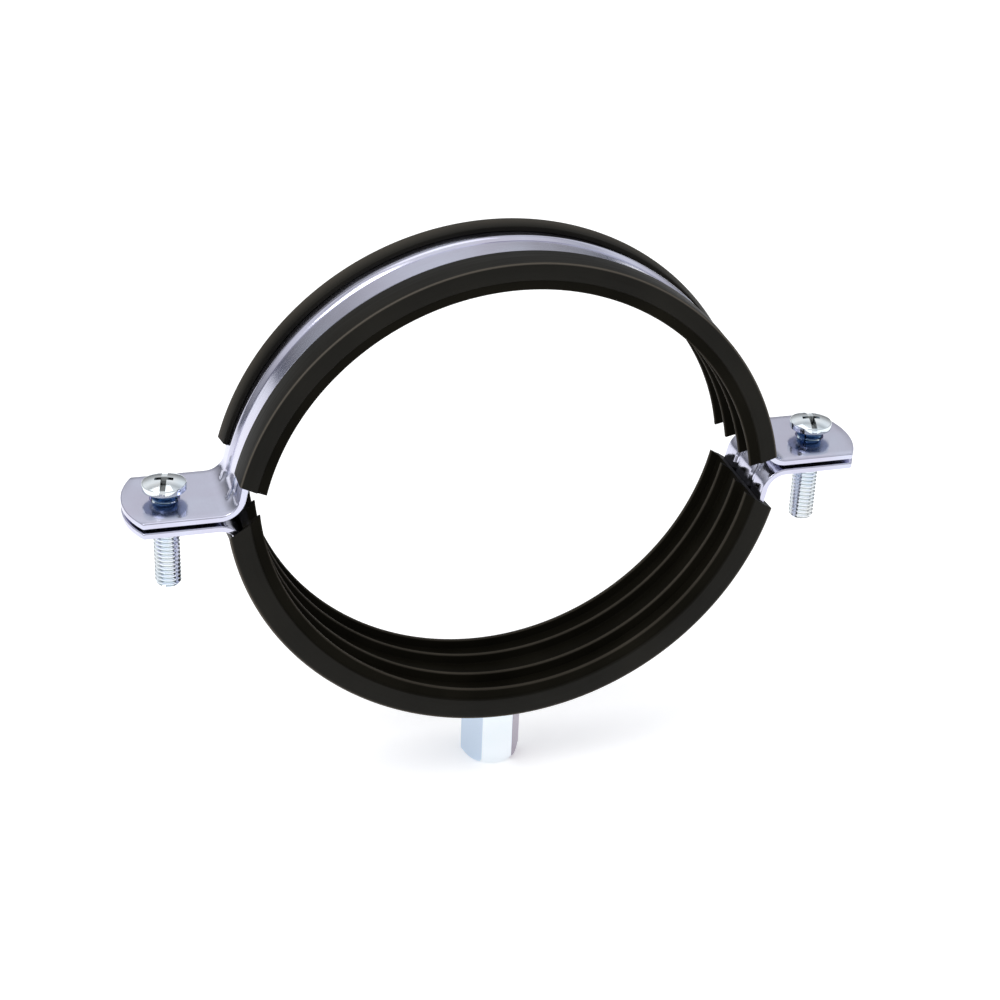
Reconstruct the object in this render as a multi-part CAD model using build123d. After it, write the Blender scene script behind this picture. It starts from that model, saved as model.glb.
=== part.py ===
"""Two-screw pipe clamp with a ribbed rubber lining and a welded connection nut.

Frame: the origin is the centre of the nut's free end face, +Z points up through the nut to
the pipe, Y runs along the pipe and the two ears lie along X. All sizes are in millimetres.

The clamp is drawn closed and empty. Each half is a little less than a half circle, so the
two arcs meet as a lens: the upper arc's centre lies below the lower one's.
"""
from build123d import *
import math
import os

# Pipe seat
seat_radius = 58.3            # rib tips of one half, half of the largest pipe

# Steel strip of both halves
strip_width = 23.0
strip_thickness = 1.5
bend_radius = 4.5             # inside of the bend from the arc into the ear
ear_end_x = 87.2              # furthest point of an ear
ear_end_radius = 21.0         # rounded end of an ear, seen from above
lower_ear_depth = 6.95        # ear's upper face, below the lower arc's centre
upper_ear_rise = 8.6          # ear's lower face, above the upper arc's centre

# Stiffening beads pressed outwards in the strip
bead_offset = 4.8             # bead's middle, from the strip's middle
bead_half_width = 1.3
bead_height = 0.7
bead_foot_angle = 32.0        # the bead's foot lies this far up the bend from the ear
bead_stop_x = 11.5            # beads of the lower half end here, clear of the nut

# Rubber lining
lining_base = 1.85
lining_fit = 0.05             # between rubber and strip, all round
side_wall = 1.1               # rubber over the strip's edge
lip_height = 2.0              # crown of the lip above the strip
lip_edge_height = 1.1         # free edge of the lip above the strip
lip_edge_y = 6.65             # free edge of the lip, from the middle
lip_round = 1.1               # outer corner of the lip
rib_height = 2.3
rib_tip_width = 0.9
rib_root_width = 1.7
inner_rib_y = 4.3             # middle of the two inner ribs
outer_rib_inset = 1.3         # middle of an outer rib, from the lining's side
face_step = 0.35              # shallow step between the side face and the outer rib

# Ends of the two linings: angle from the arc's horizontal, and how far the cut leans
upper_left_end = (15.7, 11.0)
upper_right_end = (10.6, 8.0)
lower_left_end = (8.5, 24.0)
lower_right_end = (14.5, 19.0)

# Tapped collars of the lower ears, drawn up out of the strip
collar_height = 0.95
collar_wall = 1.2
collar_edge = 0.25

# Screws
screw_x = 77.5
thread_radius = 2.95
thread_clearance = 0.05       # screw in its tapped collar
ear_hole_clearance = 0.45     # screw in the upper ear
screw_length = 24.0           # under the head
screw_point = 0.6             # chamfer at the tip
head_gap = 2.3                # screws stand this far proud of the upper ear
head_radius = 5.0
head_height = 2.5
head_round = 0.5
slot_width = 1.3
slot_depth = 1.4
slot_angle = 78.0             # slot's direction, from X
cross_length = 5.2
cross_width = 1.3
cross_depth = 2.0
cross_tip_length = 2.0        # cross recess at its floor

# Connection nut
nut_height = 20.0
nut_across_flats = 13.0
nut_bore_radius = 3.4         # core of an M8 thread
nut_end_radius = 6.1          # flat end face inside the chamfer
nut_end_rise = 1.9            # height of the chamfer at the hexagon's corners

# Derived sizes
strip_inner_radius = seat_radius + rib_height + lining_base + lining_fit
strip_outer_radius = strip_inner_radius + strip_thickness
lining_inner_radius = seat_radius + rib_height
lining_outer_radius = strip_outer_radius + lip_height
lining_half_width = strip_width / 2 + lining_fit + side_wall
lower_centre = nut_height + strip_outer_radius
upper_centre = lower_centre - lower_ear_depth + collar_height - upper_ear_rise
bend_centre_radius = strip_outer_radius + bend_radius
bead_round = (bead_half_width**2 + bead_height**2) / (2 * bead_height)
embed = 0.4                   # how far an added or cut shape runs past the face it starts on
big = 4 * ear_end_x           # side of a block that trims a whole half
through = 4 * nut_height      # length of a cutter that passes right through the nut
ear_drill = 4 * bend_radius   # length of a cutter that passes through one ear only


def bend_centre(ear_face):
    """Centre of the right-hand bend of the lower half, from the arc's centre.

    ear_face is the height of the ear's outer face, below the arc's centre.
    """
    z = -ear_face - bend_radius
    return math.sqrt(bend_centre_radius**2 - z**2), z


def ring_plane(height):
    """Plane across the clamp at an arc's centre, X to the right and Z up."""
    return Plane((0, 0, height), x_dir=(1, 0, 0), z_dir=(0, -1, 0))


def strip_outline(ear_face):
    """Side view of the lower half's bent strip, about its arc's centre."""
    x, z = bend_centre(ear_face)
    lean = math.degrees(math.atan2(-z, x))
    turn = 90 - lean
    end = ear_end_x + embed
    edges = []
    for radius, bend, face in (
        (strip_outer_radius, bend_radius, -ear_face),
        (strip_inner_radius, bend_radius + strip_thickness, -ear_face + strip_thickness),
    ):
        edges.append(CenterArc((0, 0), radius, 180 + lean, 180 - 2 * lean))
        edges.append(CenterArc((x, z), bend, 90, turn))
        edges.append(CenterArc((-x, z), bend, 90 - turn, turn))
        edges.append(Line((x, face), (end, face)))
        edges.append(Line((-x, face), (-end, face)))
    for side in (-1, 1):
        edges.append(Line((side * end, -ear_face), (side * end, -ear_face + strip_thickness)))
    return make_face(edges)


def ear_outline():
    """The flattened strip seen from above, with its two rounded ends."""
    half = strip_width / 2
    corner_x = ear_end_x - ear_end_radius + math.sqrt(ear_end_radius**2 - half**2)
    return make_face(
        Line((-corner_x, half), (corner_x, half))
        + ThreePointArc((corner_x, half), (ear_end_x, 0), (corner_x, -half))
        + Line((corner_x, -half), (-corner_x, -half))
        + ThreePointArc((-corner_x, -half), (-ear_end_x, 0), (-corner_x, half))
    )


def bead_section(radius):
    """Cross-section of a bead on a round face of this radius, drawn at angle zero."""
    left = (radius, bead_offset - bead_half_width)
    top = (radius + bead_height, bead_offset)
    right = (radius, bead_offset + bead_half_width)
    return make_face(
        ThreePointArc(left, top, right)
        + Polyline(right, (radius - embed, right[1]), (radius - embed, left[1]), left)
    )


def bead_run(ear_face, shift, stop_x):
    """Right half of one bead of the lower half, from its stop to its foot on the ear.

    shift is 0 for the ridge on the strip's outside and strip_thickness for the groove on
    its inside. stop_x is where the bead ends on the arc, or 0 to reach the middle.
    """
    x, z = bend_centre(ear_face)
    lean = math.degrees(math.atan2(-z, x))
    radius = strip_outer_radius - shift
    bend = bend_radius + shift
    stop = math.degrees(math.acos(stop_x / radius))

    ring_axis = Axis((0, 0, 0), (0, 1, 0))
    start = bead_section(radius).rotate(ring_axis, lean)
    arc = revolve(start, ring_axis, stop - lean)

    bend_axis = Axis((x, 0, z), (0, 1, 0))
    turn = revolve(start, bend_axis, 90 - lean - bead_foot_angle)
    foot = Pos(x, bead_offset, z) * Rot(0, -bead_foot_angle, 0) * Pos(0, 0, bend) * bead_end()
    run = arc + turn + foot
    if stop_x > 0:
        tilt = Rot(0, stop - 90, 0) * bead_end()
        place = Pos(radius * math.cos(math.radians(stop)), bead_offset,
                    -radius * math.sin(math.radians(stop)))
        run += place * tilt
    return run


def bead_end():
    """Round end of a bead that stands down from the plane z = 0."""
    ball = Pos(0, 0, bead_round - bead_height) * Sphere(bead_round)
    reach = 2 * bead_round
    slab = Box(reach, reach, bead_height + embed)
    return ball & Pos(0, 0, (embed - bead_height) / 2) * slab


def bent_strip(ear_face, stop_x):
    """Lower half's strip about its arc's centre: arc, two bends, two ears and two beads."""
    side = extrude(ring_plane(0) * strip_outline(ear_face), strip_width / 2, both=True)
    strip = side & extrude(ear_outline(), big, both=True)
    ridges = all_beads(bead_run(ear_face, 0, stop_x))
    grooves = all_beads(bead_run(ear_face, strip_thickness, stop_x))
    return strip + ridges - grooves


def all_beads(run):
    """The four bead runs of a half, from its right-hand one on the +Y side."""
    pair = run + mirror(run, Plane.YZ)
    return pair + mirror(pair, Plane.XZ)


def lower_band():
    """Lower half of the steel strip, with a tapped collar in each ear."""
    ear_face = lower_ear_depth + strip_thickness
    band = Pos(0, 0, lower_centre) * bent_strip(ear_face, bead_stop_x)
    ear_top = lower_centre - lower_ear_depth
    hole_radius = thread_radius + thread_clearance
    collar = Pos(0, 0, (collar_height - embed) / 2) * Cylinder(
        hole_radius + collar_wall, collar_height + embed)
    rim = collar.edges().filter_by(GeomType.CIRCLE).sort_by(Axis.Z)[-1]
    collar = chamfer(rim, collar_edge)
    for side in (-1, 1):
        place = Pos(side * screw_x, 0, ear_top)
        band += place * collar
        band -= place * Cylinder(hole_radius, ear_drill)
    return band


def upper_band():
    """Upper half of the steel strip, with a plain hole in each ear."""
    ear_face = upper_ear_rise + strip_thickness
    half = mirror(bent_strip(ear_face, 0), Plane.XY)
    band = Pos(0, 0, upper_centre) * half
    ear_top = upper_centre + ear_face
    for side in (-1, 1):
        hole = Cylinder(thread_radius + ear_hole_clearance, ear_drill)
        band -= Pos(side * screw_x, 0, ear_top) * hole
    return band


def rib_points(middle):
    """Corners of one rib, from its positive side to its negative side."""
    return [
        (lining_inner_radius, middle + rib_root_width / 2),
        (seat_radius, middle + rib_tip_width / 2),
        (seat_radius, middle - rib_tip_width / 2),
        (lining_inner_radius, middle - rib_root_width / 2),
    ]


def lining_section():
    """Cross-section of the lining: a ribbed base with a lip folded over each strip edge."""
    outer = lining_half_width
    pocket_y = strip_width / 2 + lining_fit
    pocket_low = strip_inner_radius - lining_fit
    pocket_high = strip_outer_radius + lining_fit
    edge_high = strip_outer_radius + lip_edge_height
    crown_y = outer - lip_round
    shoulder = lining_outer_radius - lip_round
    step_radius = lining_inner_radius + face_step
    outer_rib = rib_points(outer - outer_rib_inset)
    inner_rib = rib_points(inner_rib_y)

    half = Polyline(
        (lining_inner_radius, 0),
        *reversed(inner_rib),
        *reversed(outer_rib),
        (step_radius, outer),
        (shoulder, outer),
    )
    bow = (shoulder + lip_round * math.sin(math.pi / 4), crown_y + lip_round * math.cos(math.pi / 4))
    half += ThreePointArc((shoulder, outer), bow, (lining_outer_radius, crown_y))
    half += Polyline(
        (lining_outer_radius, crown_y),
        (edge_high, lip_edge_y),
        (pocket_high, lip_edge_y),
        (pocket_high, pocket_y),
        (pocket_low, pocket_y),
        (pocket_low, 0),
    )
    return make_face(half + mirror(half, Plane.XZ))


def trim_block(end, side):
    """Block that cuts off a lower lining above its end face, on the +X or -X side."""
    angle, lean = end
    block = Pos(0, 0, big / 2) * Box(big, big, big)
    place = Pos(lining_outer_radius * math.cos(math.radians(angle)), 0,
                -lining_outer_radius * math.sin(math.radians(angle)))
    block = place * Rot(0, angle + lean, 0) * block
    return block if side > 0 else mirror(block, Plane.YZ)


def lining(left_end, right_end):
    """Lower half's lining about its arc's centre."""
    axis = Axis((0, 0, 0), (0, 1, 0))
    body = revolve(lining_section(), axis, 180)
    return body - trim_block(left_end, -1) - trim_block(right_end, 1)


def lower_lining(band):
    """Rubber strip pushed over the edges of the lower band, with its lips cut to the bends."""
    return Pos(0, 0, lower_centre) * lining(lower_left_end, lower_right_end) - band


def upper_lining(band):
    """Rubber strip pushed over the edges of the upper band, with its lips cut to the bends."""
    half = mirror(lining(upper_left_end, upper_right_end), Plane.XY)
    return Pos(0, 0, upper_centre) * half - band


def connection_nut():
    """Hexagonal connection nut, chamfered at its free end and welded under the lower band."""
    corner = nut_across_flats / math.sqrt(3)
    cope = strip_outer_radius - math.sqrt(strip_outer_radius**2 - corner**2)
    nut = extrude(RegularPolygon(corner, 6), nut_height + cope)
    seat = Cylinder(strip_outer_radius, 2 * strip_width, rotation=(90, 0, 0))
    nut -= Pos(0, 0, lower_centre) * seat
    slope = (corner - nut_end_radius) / nut_end_rise
    top = nut_height + cope
    envelope = Polyline(
        (0, 0),
        (nut_end_radius, 0),
        (nut_end_radius + slope * top, top),
        (0, top),
        (0, 0),
    )
    nut &= revolve(Plane.XZ * make_face(envelope), Axis.Z)
    return nut - Cylinder(nut_bore_radius, through)


def screw(side):
    """Screw of one ear: round head with a slot and a cross recess, plain shank, chamfered tip."""
    seat = upper_centre + upper_ear_rise + strip_thickness + head_gap
    outline = Polyline(
        (0, -screw_length),
        (thread_radius - screw_point, -screw_length),
        (thread_radius, -screw_length + screw_point),
        (thread_radius, 0),
        (head_radius, 0),
        (head_radius, head_height),
        (0, head_height),
        (0, -screw_length),
    )
    body = revolve(Plane.XZ * make_face(outline), Axis.Z)
    rim = body.edges().filter_by(GeomType.CIRCLE).group_by(Axis.Z)[-1]
    body = fillet(rim, head_round)
    slot = Box(2 * head_radius, slot_width, 2 * slot_depth)
    body -= Pos(0, 0, head_height) * slot
    for turn in (0, 90):
        blade = Polyline(
            (-cross_length / 2, head_height),
            (cross_length / 2, head_height),
            (cross_tip_length / 2, head_height - cross_depth),
            (-cross_tip_length / 2, head_height - cross_depth),
            (-cross_length / 2, head_height),
        )
        cut = extrude(Plane.XZ * make_face(blade), cross_width / 2, both=True)
        body -= Rot(0, 0, turn) * cut
    return Pos(side * screw_x, 0, seat) * Rot(0, 0, slot_angle) * body


def main():
    """Write each piece as its own STEP file."""
    os.makedirs("parts", exist_ok=True)
    lower = lower_band()
    upper = upper_band()
    pieces = {
        "lower_band": lower,
        "upper_band": upper,
        "lower_lining": lower_lining(lower),
        "upper_lining": upper_lining(upper),
        "connection_nut": connection_nut(),
        "left_screw": screw(-1),
        "right_screw": screw(1),
    }
    for name, piece in pieces.items():
        piece.label = name
        export_step(piece, f"parts/{name}.step")


main()
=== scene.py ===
"""Dressed model of a two-screw pipe clamp with a ribbed rubber lining and a connection nut.

The clamp stands closed and empty on its nut. +Z points up through the nut to the pipe, Y runs
along the pipe, and the two ears lie along X. Lengths are written in millimetres through MM.
"""
import logging
import math
from dataclasses import dataclass, field
from enum import Enum
from functools import cached_property

import bmesh
import bpy
from mathutils import Matrix, Vector


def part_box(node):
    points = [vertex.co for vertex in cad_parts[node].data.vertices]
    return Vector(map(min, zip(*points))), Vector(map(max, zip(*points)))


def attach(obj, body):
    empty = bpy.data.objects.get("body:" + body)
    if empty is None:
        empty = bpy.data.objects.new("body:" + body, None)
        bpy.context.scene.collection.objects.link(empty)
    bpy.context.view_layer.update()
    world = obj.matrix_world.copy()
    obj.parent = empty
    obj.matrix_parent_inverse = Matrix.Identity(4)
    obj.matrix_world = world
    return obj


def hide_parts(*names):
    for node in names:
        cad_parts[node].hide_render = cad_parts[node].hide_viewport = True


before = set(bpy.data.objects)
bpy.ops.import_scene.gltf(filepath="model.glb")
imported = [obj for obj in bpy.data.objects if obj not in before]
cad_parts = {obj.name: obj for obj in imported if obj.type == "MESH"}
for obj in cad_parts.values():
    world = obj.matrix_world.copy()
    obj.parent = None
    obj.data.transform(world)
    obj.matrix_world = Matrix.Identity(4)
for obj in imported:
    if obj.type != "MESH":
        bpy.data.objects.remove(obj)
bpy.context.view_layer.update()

LOG = logging.getLogger("pipe_clamp")
MM = 0.001
WELD = 0.0005 * MM
Point = tuple[float, float]
Corner = tuple[float, float, float]
Colour = tuple[float, float, float]


class Half(Enum):
    """The two halves of the clamp: the value is +1 where the half bulges upwards."""

    LOWER = -1
    UPPER = 1


class Side(Enum):
    """Left or right of the clamp, as the sign of X."""

    LEFT = -1
    RIGHT = 1


# ---------------------------------------------------------------- sizes

@dataclass(frozen=True)
class ClampSizes:
    """Driving sizes shared by the pieces, in metres."""

    seat_radius: float = 58.3 * MM
    rib_height: float = 2.3 * MM
    lining_base: float = 1.85 * MM
    side_wall: float = 1.1 * MM
    fit: float = 0.05 * MM
    strip_thickness: float = 1.5 * MM
    strip_width: float = 23.0 * MM
    bend_radius: float = 4.5 * MM
    lower_ear_depth: float = 6.95 * MM
    upper_ear_rise: float = 8.6 * MM
    screw_x: float = 77.5 * MM
    nut_across_flats: float = 13.0 * MM

    @property
    def base_radius(self) -> float:
        """Radius of the lining's inner face, between its ribs."""
        return self.seat_radius + self.rib_height

    @property
    def lining_half_width(self) -> float:
        """Distance of the lining's side face from the strip's middle."""
        return self.strip_width / 2 + self.fit + self.side_wall

    @property
    def strip_inner(self) -> float:
        """Radius of the strip's inner face."""
        return self.base_radius + self.lining_base + self.fit

    @property
    def strip_outer(self) -> float:
        """Radius of the strip's outer face."""
        return self.strip_inner + self.strip_thickness

    @cached_property
    def nut_height(self) -> float:
        """Height of the connection nut, read from the frame."""
        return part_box("lower_band")[0][2]

    @property
    def lower_centre(self) -> float:
        """Height of the lower arc's centre."""
        return self.nut_height + self.strip_outer

    @cached_property
    def upper_centre(self) -> float:
        """Height of the upper arc's centre."""
        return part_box("upper_band")[1][2] - BeadShape().height - self.strip_outer


@dataclass(frozen=True)
class BeadShape:
    """Section and ends of the stiffening beads pressed outwards in the strip."""

    offset: float = 4.8 * MM
    half_width: float = 1.35 * MM
    height: float = 0.7 * MM
    foot_angle: float = math.radians(32)
    foot_length: float = 2.2 * MM
    nut_stop: float = 11.5 * MM
    flank_power: float = 1.15

    def rise(self, across: float) -> float:
        """Height of the bead's section at a place across the strip.

        Args:
            across: distance from the strip's middle.

        Returns:
            Height above the strip's plain face.
        """
        reach = abs(abs(across) - self.offset) / self.half_width
        return 0.0 if reach >= 1 else self.height * (1 - reach**2) ** self.flank_power


# ---------------------------------------------------------------- mesh helpers

def finished(name: str, mesh: bpy.types.Mesh, material: bpy.types.Material) -> bpy.types.Object:
    """Put a mesh in the scene as a piece with one material.

    Args:
        name: the piece's name.
        mesh: its mesh, already in place.
        material: its finish.

    Returns:
        The new object, at the origin.
    """
    mesh.materials.clear()
    mesh.materials.append(material)
    piece = bpy.data.objects.new(name, mesh)
    bpy.context.scene.collection.objects.link(piece)
    return piece


def place_piece(name: str, mesh: bpy.types.Mesh, material: bpy.types.Material,
                body: str, node: str) -> bpy.types.Object:
    """Put a piece in the scene for a CAD node.

    Args:
        name: the piece's name.
        mesh: its mesh, in place.
        material: its finish.
        body: the body that it rides on.
        node: the CAD node that it stands for.

    Returns:
        The piece.
    """
    piece = finished(name, mesh, material)
    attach(piece, body)
    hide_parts(node)
    return piece


def mesh_from_rows(name: str, rows: list[list[Vector]], ring: bool,
                   loops: bool = True) -> bpy.types.Mesh:
    """Skin rows of points with quads.

    Args:
        name: the mesh's name.
        rows: rows of points, all equally long.
        ring: True joins the last row to the first, False caps the first and the last row.
        loops: True closes each row on itself, False leaves its two ends apart.

    Returns:
        A closed mesh whose faces point outwards.
    """
    build = bmesh.new()
    grid = [[build.verts.new(point) for point in row] for row in rows]
    count = len(rows[0])
    for i in range(len(rows) if ring else len(rows) - 1):
        near, far = grid[i], grid[(i + 1) % len(grid)]
        for j in range(count if loops else count - 1):
            k = (j + 1) % count
            build.faces.new((near[j], near[k], far[k], far[j]))
    if not ring:
        for row in (grid[0], grid[-1]):
            cap = build.faces.new(row)
            bmesh.ops.triangulate(build, faces=[cap], ngon_method="EAR_CLIP")
    return written(name, build)


def written(name: str, build: bmesh.types.BMesh) -> bpy.types.Mesh:
    """Weld a bmesh, turn its faces outwards and write it to a new mesh.

    Args:
        name: the mesh's name.
        build: the bmesh, which is freed.

    Returns:
        The new mesh.
    """
    bmesh.ops.remove_doubles(build, verts=build.verts, dist=WELD)
    bmesh.ops.recalc_face_normals(build, faces=build.faces)
    mesh = bpy.data.meshes.new(name)
    build.to_mesh(mesh)
    build.free()
    return mesh


def smooth_by_angle(mesh: bpy.types.Mesh, degrees: float = 35.0) -> None:
    """Shade a mesh smooth except across edges sharper than an angle.

    Args:
        mesh: the mesh that is shaded.
        degrees: the angle.
    """
    mesh.shade_smooth()
    mesh.set_sharp_from_angle(angle=math.radians(degrees))


def solid_boolean(mesh: bpy.types.Mesh, tool: bpy.types.Mesh, operation: str) -> bpy.types.Mesh:
    """Cut or join two closed meshes.

    Args:
        mesh: the mesh that is worked on.
        tool: the mesh that cuts it or is added to it.
        operation: DIFFERENCE, UNION or INTERSECT.

    Returns:
        The resulting mesh.
    """
    work = bpy.data.objects.new("work", mesh)
    cutter = bpy.data.objects.new("cutter", tool)
    for item in (work, cutter):
        bpy.context.scene.collection.objects.link(item)
    modifier = work.modifiers.new("boolean", "BOOLEAN")
    modifier.operation = operation
    modifier.solver = "EXACT"
    modifier.object = cutter
    result = evaluated_copy(work)
    for item in (work, cutter):
        bpy.data.objects.remove(item)
    return result


def closed_again(mesh: bpy.types.Mesh) -> bpy.types.Mesh:
    """Weld a drilled or joined mesh and fill the slivers that its booleans left open.

    Args:
        mesh: the result of the booleans.

    Returns:
        A closed mesh.
    """
    build = bmesh.new()
    build.from_mesh(mesh)
    bmesh.ops.remove_doubles(build, verts=build.verts, dist=WELD)
    bmesh.ops.holes_fill(build, edges=[edge for edge in build.edges if edge.is_boundary], sides=0)
    bmesh.ops.dissolve_degenerate(build, edges=build.edges, dist=WELD)
    return written("closed", build)


def evaluated_copy(item: bpy.types.Object) -> bpy.types.Mesh:
    """Apply an object's modifiers.

    Args:
        item: the object, linked to the scene.

    Returns:
        Its evaluated shape as a plain mesh.
    """
    bpy.context.view_layer.update()
    graph = bpy.context.evaluated_depsgraph_get()
    return bpy.data.meshes.new_from_object(item.evaluated_get(graph), depsgraph=graph)


def turned(name: str, outline: list[Point], around: int) -> bpy.types.Mesh:
    """Turn an outline about Z.

    Args:
        name: the mesh's name.
        outline: radius and height of each point; it starts and ends on the axis.
        around: number of steps round the axis.

    Returns:
        A closed mesh.
    """
    rows = []
    for step in range(around):
        angle = math.tau * step / around
        rows.append([Vector((r * math.cos(angle), r * math.sin(angle), z)) for r, z in outline])
    return mesh_from_rows(name, rows, ring=True, loops=False)


def block(size: Corner, centre: Corner, turn: float) -> bpy.types.Mesh:
    """Rectangular cutter, turned about Z.

    Args:
        size: its three sides.
        centre: its middle before it is turned.
        turn: angle about Z, in radians.

    Returns:
        A closed mesh.
    """
    build = bmesh.new()
    place = Matrix.Rotation(turn, 4, "Z") @ Matrix.Translation(centre) @ Matrix.Diagonal((*size, 1))
    bmesh.ops.create_cube(build, size=1, matrix=place)
    return written("block", build)


def rounded_outline(corners: list[Corner], steps: int = 5) -> list[Point]:
    """Round the corners of a closed outline.

    Args:
        corners: each corner's two coordinates and its rounding radius.
        steps: number of straight steps in each rounding.

    Returns:
        The points of the rounded outline, in the same order.
    """
    points: list[Point] = []
    count = len(corners)
    for i, (x, y, radius) in enumerate(corners):
        here = Vector((x, y))
        before = (Vector(corners[i - 1][:2]) - here).normalized()
        after = (Vector(corners[(i + 1) % count][:2]) - here).normalized()
        if radius == 0:
            points.append((x, y))
            continue
        half = before.angle(after) / 2
        centre = here + (before + after).normalized() * radius / math.sin(half)
        start = here + before * radius / math.tan(half) - centre
        end = here + after * radius / math.tan(half) - centre
        for step in range(steps + 1):
            spoke = start.slerp(end, step / steps).normalized()
            points.append(tuple(centre + spoke * radius))
    return points


# ---------------------------------------------------------------- node trees

class Nodes:
    """Short-hand for building a node tree in code."""

    def __init__(self, tree: bpy.types.NodeTree) -> None:
        """Start on an empty tree."""
        self.tree = tree
        self.tree.nodes.clear()

    def add(self, kind: str, **settings: object) -> bpy.types.Node:
        """Add a node and set its properties.

        Args:
            kind: the node's type.
            settings: its properties, by name.

        Returns:
            The node.
        """
        node = self.tree.nodes.new(kind)
        for name, value in settings.items():
            setattr(node, name, value)
        return node

    def feed(self, target: bpy.types.NodeSocket, value: object) -> None:
        """Link a socket into a target, or set the target's own value.

        Args:
            target: the input socket.
            value: a socket to link, or a plain value.
        """
        if isinstance(value, bpy.types.NodeSocket):
            self.tree.links.new(value, target)
        else:
            target.default_value = value

    def calc(self, operation: str, *values: object) -> bpy.types.NodeSocket:
        """Add a Math node.

        Args:
            operation: what it computes.
            values: its inputs in order, as sockets or numbers.

        Returns:
            Its result.
        """
        node = self.add("ShaderNodeMath", operation=operation)
        for target, value in zip(node.inputs, values):
            self.feed(target, value)
        return node.outputs[0]

    def vector(self, x: object, y: object, z: object) -> bpy.types.NodeSocket:
        """Combine three values, each a socket or a number, into a vector.

        Args:
            x: the first value.
            y: the second value.
            z: the third value.

        Returns:
            The vector.
        """
        node = self.add("ShaderNodeCombineXYZ")
        for target, value in zip(node.inputs, (x, y, z)):
            self.feed(target, value)
        return node.outputs[0]

    def split(self, vector: bpy.types.NodeSocket) -> tuple[bpy.types.NodeSocket, ...]:
        """Split a vector.

        Args:
            vector: the vector.

        Returns:
            Its X, Y and Z.
        """
        node = self.add("ShaderNodeSeparateXYZ")
        self.feed(node.inputs[0], vector)
        return tuple(node.outputs)

    def distance(self, x: bpy.types.NodeSocket, y: bpy.types.NodeSocket) -> bpy.types.NodeSocket:
        """Distance of a point from the origin of its plane."""
        return self.calc("SQRT", self.calc("MULTIPLY_ADD", x, x, self.calc("MULTIPLY", y, y)))

    def ramp(self, value: bpy.types.NodeSocket, low: object, high: object,
             start: float, end: float, curve: str = "LINEAR") -> bpy.types.NodeSocket:
        """Map a value from one range to another, held inside the second.

        Args:
            value: the value.
            low: where the first range starts, as a number or a socket.
            high: where the first range ends.
            start: the result at low.
            end: the result at high.
            curve: LINEAR or SMOOTHSTEP.

        Returns:
            The mapped value.
        """
        node = self.add("ShaderNodeMapRange", interpolation_type=curve)
        self.feed(node.inputs["Value"], value)
        for name, number in (("From Min", low), ("From Max", high), ("To Min", start), ("To Max", end)):
            self.feed(node.inputs[name], number)
        return node.outputs[0]


class GeometryTree(Nodes):
    """A geometry node tree with named inputs, one mesh in and one mesh out."""

    def __init__(self, name: str, inputs: dict[str, str]) -> None:
        """Create the tree.

        Args:
            name: the tree's name.
            inputs: name and socket type of each input after the geometry.
        """
        super().__init__(bpy.data.node_groups.new(name, "GeometryNodeTree"))
        face = self.tree.interface
        face.new_socket(name="Geometry", in_out="INPUT", socket_type="NodeSocketGeometry")
        for label, kind in inputs.items():
            face.new_socket(name=label, in_out="INPUT", socket_type=kind)
        face.new_socket(name="Geometry", in_out="OUTPUT", socket_type="NodeSocketGeometry")
        self.inputs = self.add("NodeGroupInput").outputs

    def close(self, geometry: bpy.types.NodeSocket) -> None:
        """End the tree: weld, realise the instances and set the material.

        Args:
            geometry: what the tree has made.
        """
        weld = self.add("GeometryNodeMergeByDistance")
        self.feed(weld.inputs["Geometry"], geometry)
        self.feed(weld.inputs["Distance"], WELD)
        real = self.add("GeometryNodeRealizeInstances")
        self.feed(real.inputs["Geometry"], weld.outputs["Geometry"])
        paint = self.add("GeometryNodeSetMaterial")
        self.feed(paint.inputs["Geometry"], real.outputs["Geometry"])
        self.feed(paint.inputs["Material"], self.inputs["Material"])
        out = self.add("NodeGroupOutput")
        self.feed(out.inputs["Geometry"], paint.outputs["Geometry"])

    def apply(self, mesh: bpy.types.Mesh, values: dict[str, object]) -> bpy.types.Mesh:
        """Run the tree on a mesh.

        Args:
            mesh: the mesh that goes in.
            values: the value of each named input.

        Returns:
            The plain mesh that comes out.
        """
        carrier = bpy.data.objects.new("carrier", mesh)
        bpy.context.scene.collection.objects.link(carrier)
        modifier = carrier.modifiers.new(self.tree.name, "NODES")
        modifier.node_group = self.tree
        for item in self.tree.interface.items_tree:
            if item.in_out == "INPUT" and item.name in values:
                modifier[item.identifier] = values[item.name]
        result = evaluated_copy(carrier)
        carrier.modifiers.remove(modifier)
        bpy.data.objects.remove(carrier)
        return result


def grid_places(tree: GeometryTree, rows: bpy.types.NodeSocket,
                columns: bpy.types.NodeSocket) -> tuple[bpy.types.NodeSocket, ...]:
    """Add a grid and read each point's row and column from its place.

    Args:
        tree: the tree that is being built.
        rows: number of steps along the grid's first side.
        columns: number of steps along its second side.

    Returns:
        The grid's mesh, each point's row, and each point's column.
    """
    grid = tree.add("GeometryNodeMeshGrid")
    tree.feed(grid.inputs["Size X"], rows)
    tree.feed(grid.inputs["Size Y"], columns)
    tree.feed(grid.inputs["Vertices X"], tree.calc("ADD", rows, 1.0))
    tree.feed(grid.inputs["Vertices Y"], tree.calc("ADD", columns, 1.0))
    x, y, _ = tree.split(tree.add("GeometryNodeInputPosition").outputs[0])
    places = []
    for value, steps in ((x, rows), (y, columns)):
        half = tree.calc("MULTIPLY", steps, 0.5)
        places.append(tree.calc("ROUND", tree.calc("ADD", value, half)))
    return grid.outputs["Mesh"], places[0], places[1]


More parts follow.
